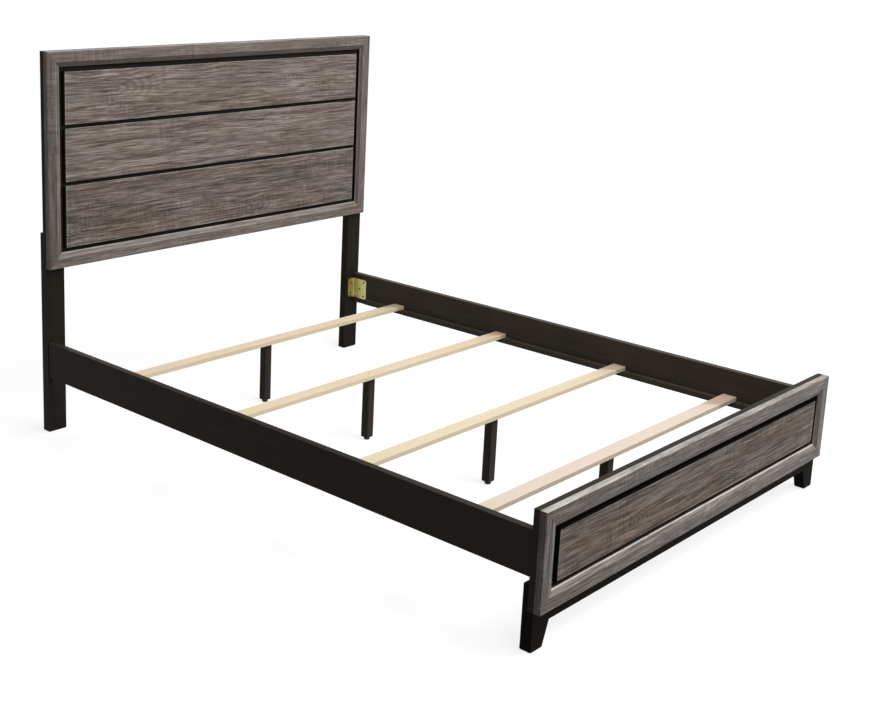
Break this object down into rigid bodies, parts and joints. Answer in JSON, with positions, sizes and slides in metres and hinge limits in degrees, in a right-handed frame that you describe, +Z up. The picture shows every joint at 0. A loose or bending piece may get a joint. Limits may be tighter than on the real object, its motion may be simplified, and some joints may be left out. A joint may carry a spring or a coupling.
{
  "type": "bed frame",
  "caption": "Panelled wooden bed frame: plank headboard and low footboard in mitred frames, side rails, ledgers, cross slats and centre legs on levelling glides.",
  "frame": {"origin": "middle of the bed's footprint, on the floor", "axes": "+X across the bed to the right as seen from the foot, +Y along the bed towards the headboard, +Z up"},
  "size_m": [1.6, 2.137, 1.344],
  "materials": {
    "grey_oak": "weathered grey oak grain, satin",
    "black_lacquer": "black painted wood, satin",
    "pine": "bare planed pine",
    "yellow_zinc": "yellow zinc plated steel",
    "screw_steel": "zinc plated steel",
    "glide_plastic": "black nylon foot on a steel thread"
  },
  "bodies": {
    "bed": {"bracket_screws": "screw_steel", "corner_bracket_foot_left": "yellow_zinc", "corner_bracket_foot_right": "yellow_zinc", "corner_bracket_head_left": "yellow_zinc", "corner_bracket_head_right": "yellow_zinc", "footboard_back_panel": "black_lacquer", "footboard_bottom_rail": "black_lacquer", "footboard_frame_bottom": "grey_oak", "footboard_frame_left": "grey_oak", "footboard_frame_right": "grey_oak", "footboard_frame_top": "grey_oak", "footboard_left_leg": "black_lacquer", "footboard_leg_screws": "screw_steel", "footboard_plank": "grey_oak", "footboard_right_leg": "black_lacquer", "headboard_back_panel": "black_lacquer", "headboard_frame_bottom": "grey_oak", "headboard_frame_left": "grey_oak", "headboard_frame_right": "grey_oak", "headboard_frame_top": "grey_oak", "headboard_left_post": "black_lacquer", "headboard_plank_bottom": "grey_oak", "headboard_plank_middle": "grey_oak", "headboard_plank_top": "grey_oak", "headboard_post_screws": "screw_steel", "headboard_right_post": "black_lacquer", "ledger_screws": "screw_steel", "left_side_rail": "black_lacquer", "left_slat_ledger": "black_lacquer", "leveller_inserts": "yellow_zinc", "right_side_rail": "black_lacquer", "right_slat_ledger": "black_lacquer", "slat_1": "pine", "slat_2": "pine", "slat_3": "pine", "slat_4": "pine", "slat_stop_screws": "screw_steel", "support_leg_1": "black_lacquer", "support_leg_2": "black_lacquer", "support_leg_3": "black_lacquer", "support_leg_4": "black_lacquer", "support_leg_screws": "screw_steel"},
    "glide_1": {"leveller_1": "glide_plastic"},
    "glide_2": {"leveller_2": "glide_plastic"},
    "glide_3": {"leveller_3": "glide_plastic"},
    "glide_4": {"leveller_4": "glide_plastic"}
  },
  "joints": [
    {"name": "glide_1_thread", "type": "slide", "parent": "bed", "child": "glide_1", "axis": [0, 0, 1], "range_m": [-0.014, 0.001]},
    {"name": "glide_2_thread", "type": "slide", "parent": "bed", "child": "glide_2", "axis": [0, 0, 1], "range_m": [-0.014, 0.001]},
    {"name": "glide_3_thread", "type": "slide", "parent": "bed", "child": "glide_3", "axis": [0, 0, 1], "range_m": [-0.014, 0.001]},
    {"name": "glide_4_thread", "type": "slide", "parent": "bed", "child": "glide_4", "axis": [0, 0, 1], "range_m": [-0.014, 0.001]}
  ]
}
